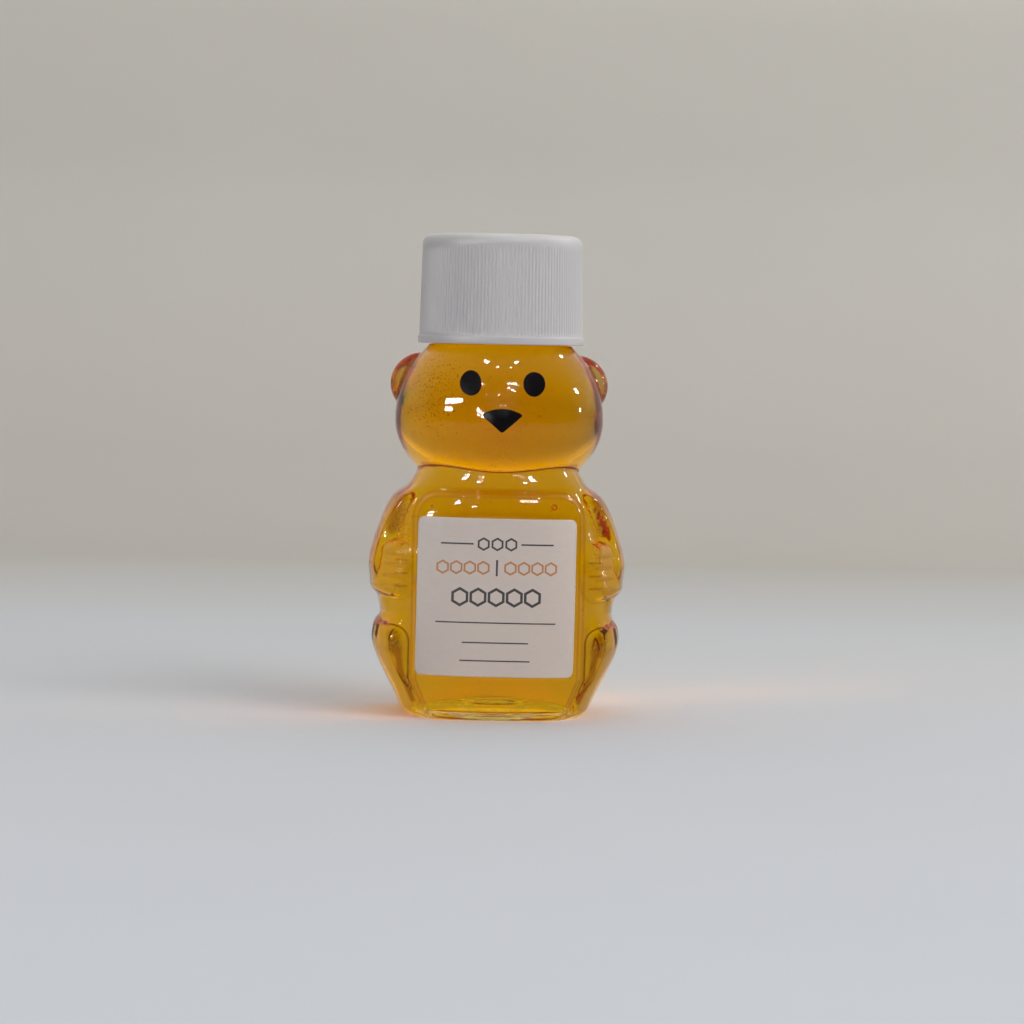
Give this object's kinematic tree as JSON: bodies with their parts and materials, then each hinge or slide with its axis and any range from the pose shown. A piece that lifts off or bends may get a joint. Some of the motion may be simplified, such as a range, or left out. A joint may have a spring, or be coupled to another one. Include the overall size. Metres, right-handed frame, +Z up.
{
  "type": "honey bear bottle",
  "caption": "Small clear bear-shaped squeeze bottle filled with honey, with a ribbed white screw cap, a square front label and printed eyes and nose.",
  "frame": {"origin": "middle of the base, on the surface that the bottle stands on", "axes": "+Z up along the neck, -Y out of the face and the front label, +X to the bear's left"},
  "size_m": [0.0418, 0.0336, 0.078],
  "materials": {
    "clear_pet": "clear, glossy",
    "honey": "clear amber liquid",
    "white_cap": "satin white",
    "liner_foam": "matte foam",
    "label_paper": "matte paper with print",
    "black_ink": "glossy print"
  },
  "bodies": {
    "bottle": {"bottle_shell": "clear_pet", "honey_fill": "honey", "front_label": "label_paper", "left_eye": "black_ink", "right_eye": "black_ink", "nose": "black_ink"},
    "liner": {"cap_liner": "liner_foam"},
    "cap": {"screw_cap": "white_cap"}
  },
  "joints": [
    {"name": "cap_lift", "type": "slide", "parent": "bottle", "child": "liner", "axis": [0, 0, 1], "range_m": [0, 0.0175]},
    {"name": "cap_turn", "type": "hinge", "parent": "liner", "child": "cap", "pos_m": [0, 0, 0.07], "axis": [0, 0, 1], "range_deg": [0, 1980]}
  ],
  "couplings": [
    {"joint": "cap_lift", "follows": "cap_turn", "m_per_rad": 0.00050532}
  ]
}
